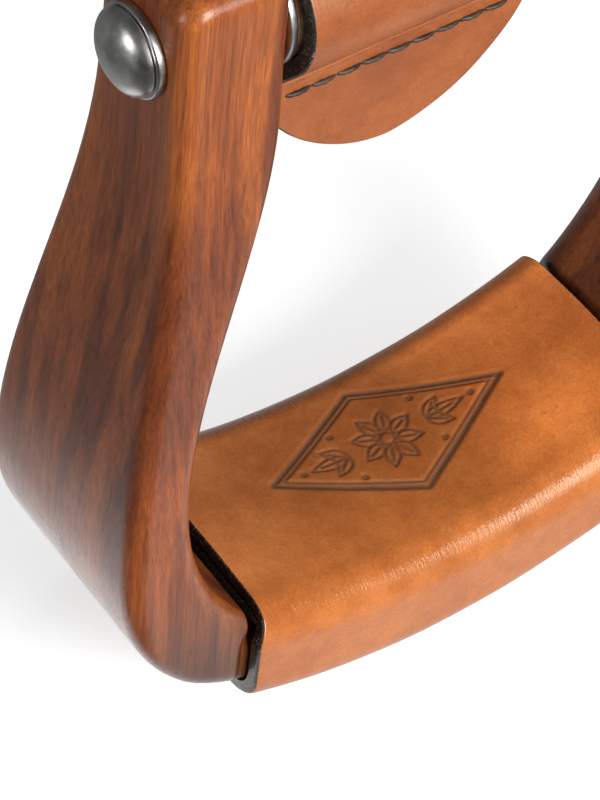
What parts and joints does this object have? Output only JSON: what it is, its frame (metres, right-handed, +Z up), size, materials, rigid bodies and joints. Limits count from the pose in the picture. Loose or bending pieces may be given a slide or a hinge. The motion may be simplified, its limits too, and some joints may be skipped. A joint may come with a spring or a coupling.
{
  "type": "western saddle stirrup",
  "caption": "Wooden western saddle stirrup: bowed carved hardwood sides, a curved tread wrapped in leather, and a roller bar with a leather flap between the necks.",
  "frame": {"origin": "under the middle of the tread, at the lowest point of the leather cover", "axes": "+X along the tread, from the left side to the right side; +Y to the back; +Z up, from the tread to the roller"},
  "size_m": [0.1564, 0.0516, 0.181],
  "materials": {
    "side_wood": "satin oiled dark hardwood",
    "inner_wood": "plain turned or sawn hardwood",
    "cover_leather": "smooth russet leather with black dyed cut edges",
    "pad_leather": "plain leather with black dyed cut edges",
    "waxed_thread": "waxed dark cord",
    "hardware": "satin steel"
  },
  "bodies": {
    "frame": {"right_side": "side_wood", "left_side": "side_wood", "tread_block": "inner_wood", "tread_pad": "pad_leather", "tread_cover": "cover_leather", "tread_lace": "waxed_thread", "left_front_peg": "inner_wood", "left_back_peg": "inner_wood", "right_front_peg": "inner_wood", "right_back_peg": "inner_wood", "top_bolt": "hardware", "bolt_nut": "hardware", "right_outer_washer": "hardware", "left_outer_washer": "hardware", "right_inner_washer": "hardware", "left_inner_washer": "hardware"},
    "roller": {"top_roller": "inner_wood"},
    "flap": {"neck_flap": "cover_leather", "flap_thread": "waxed_thread"}
  },
  "joints": [
    {"name": "roller_spin", "type": "hinge", "parent": "frame", "child": "roller", "pos_m": [0, 0, 0.166], "axis": [1, 0, 0], "continuous": true},
    {"name": "flap_slide", "type": "slide", "parent": "roller", "child": "flap", "axis": [1, 0, 0], "range_m": [0, 0.035]}
  ]
}
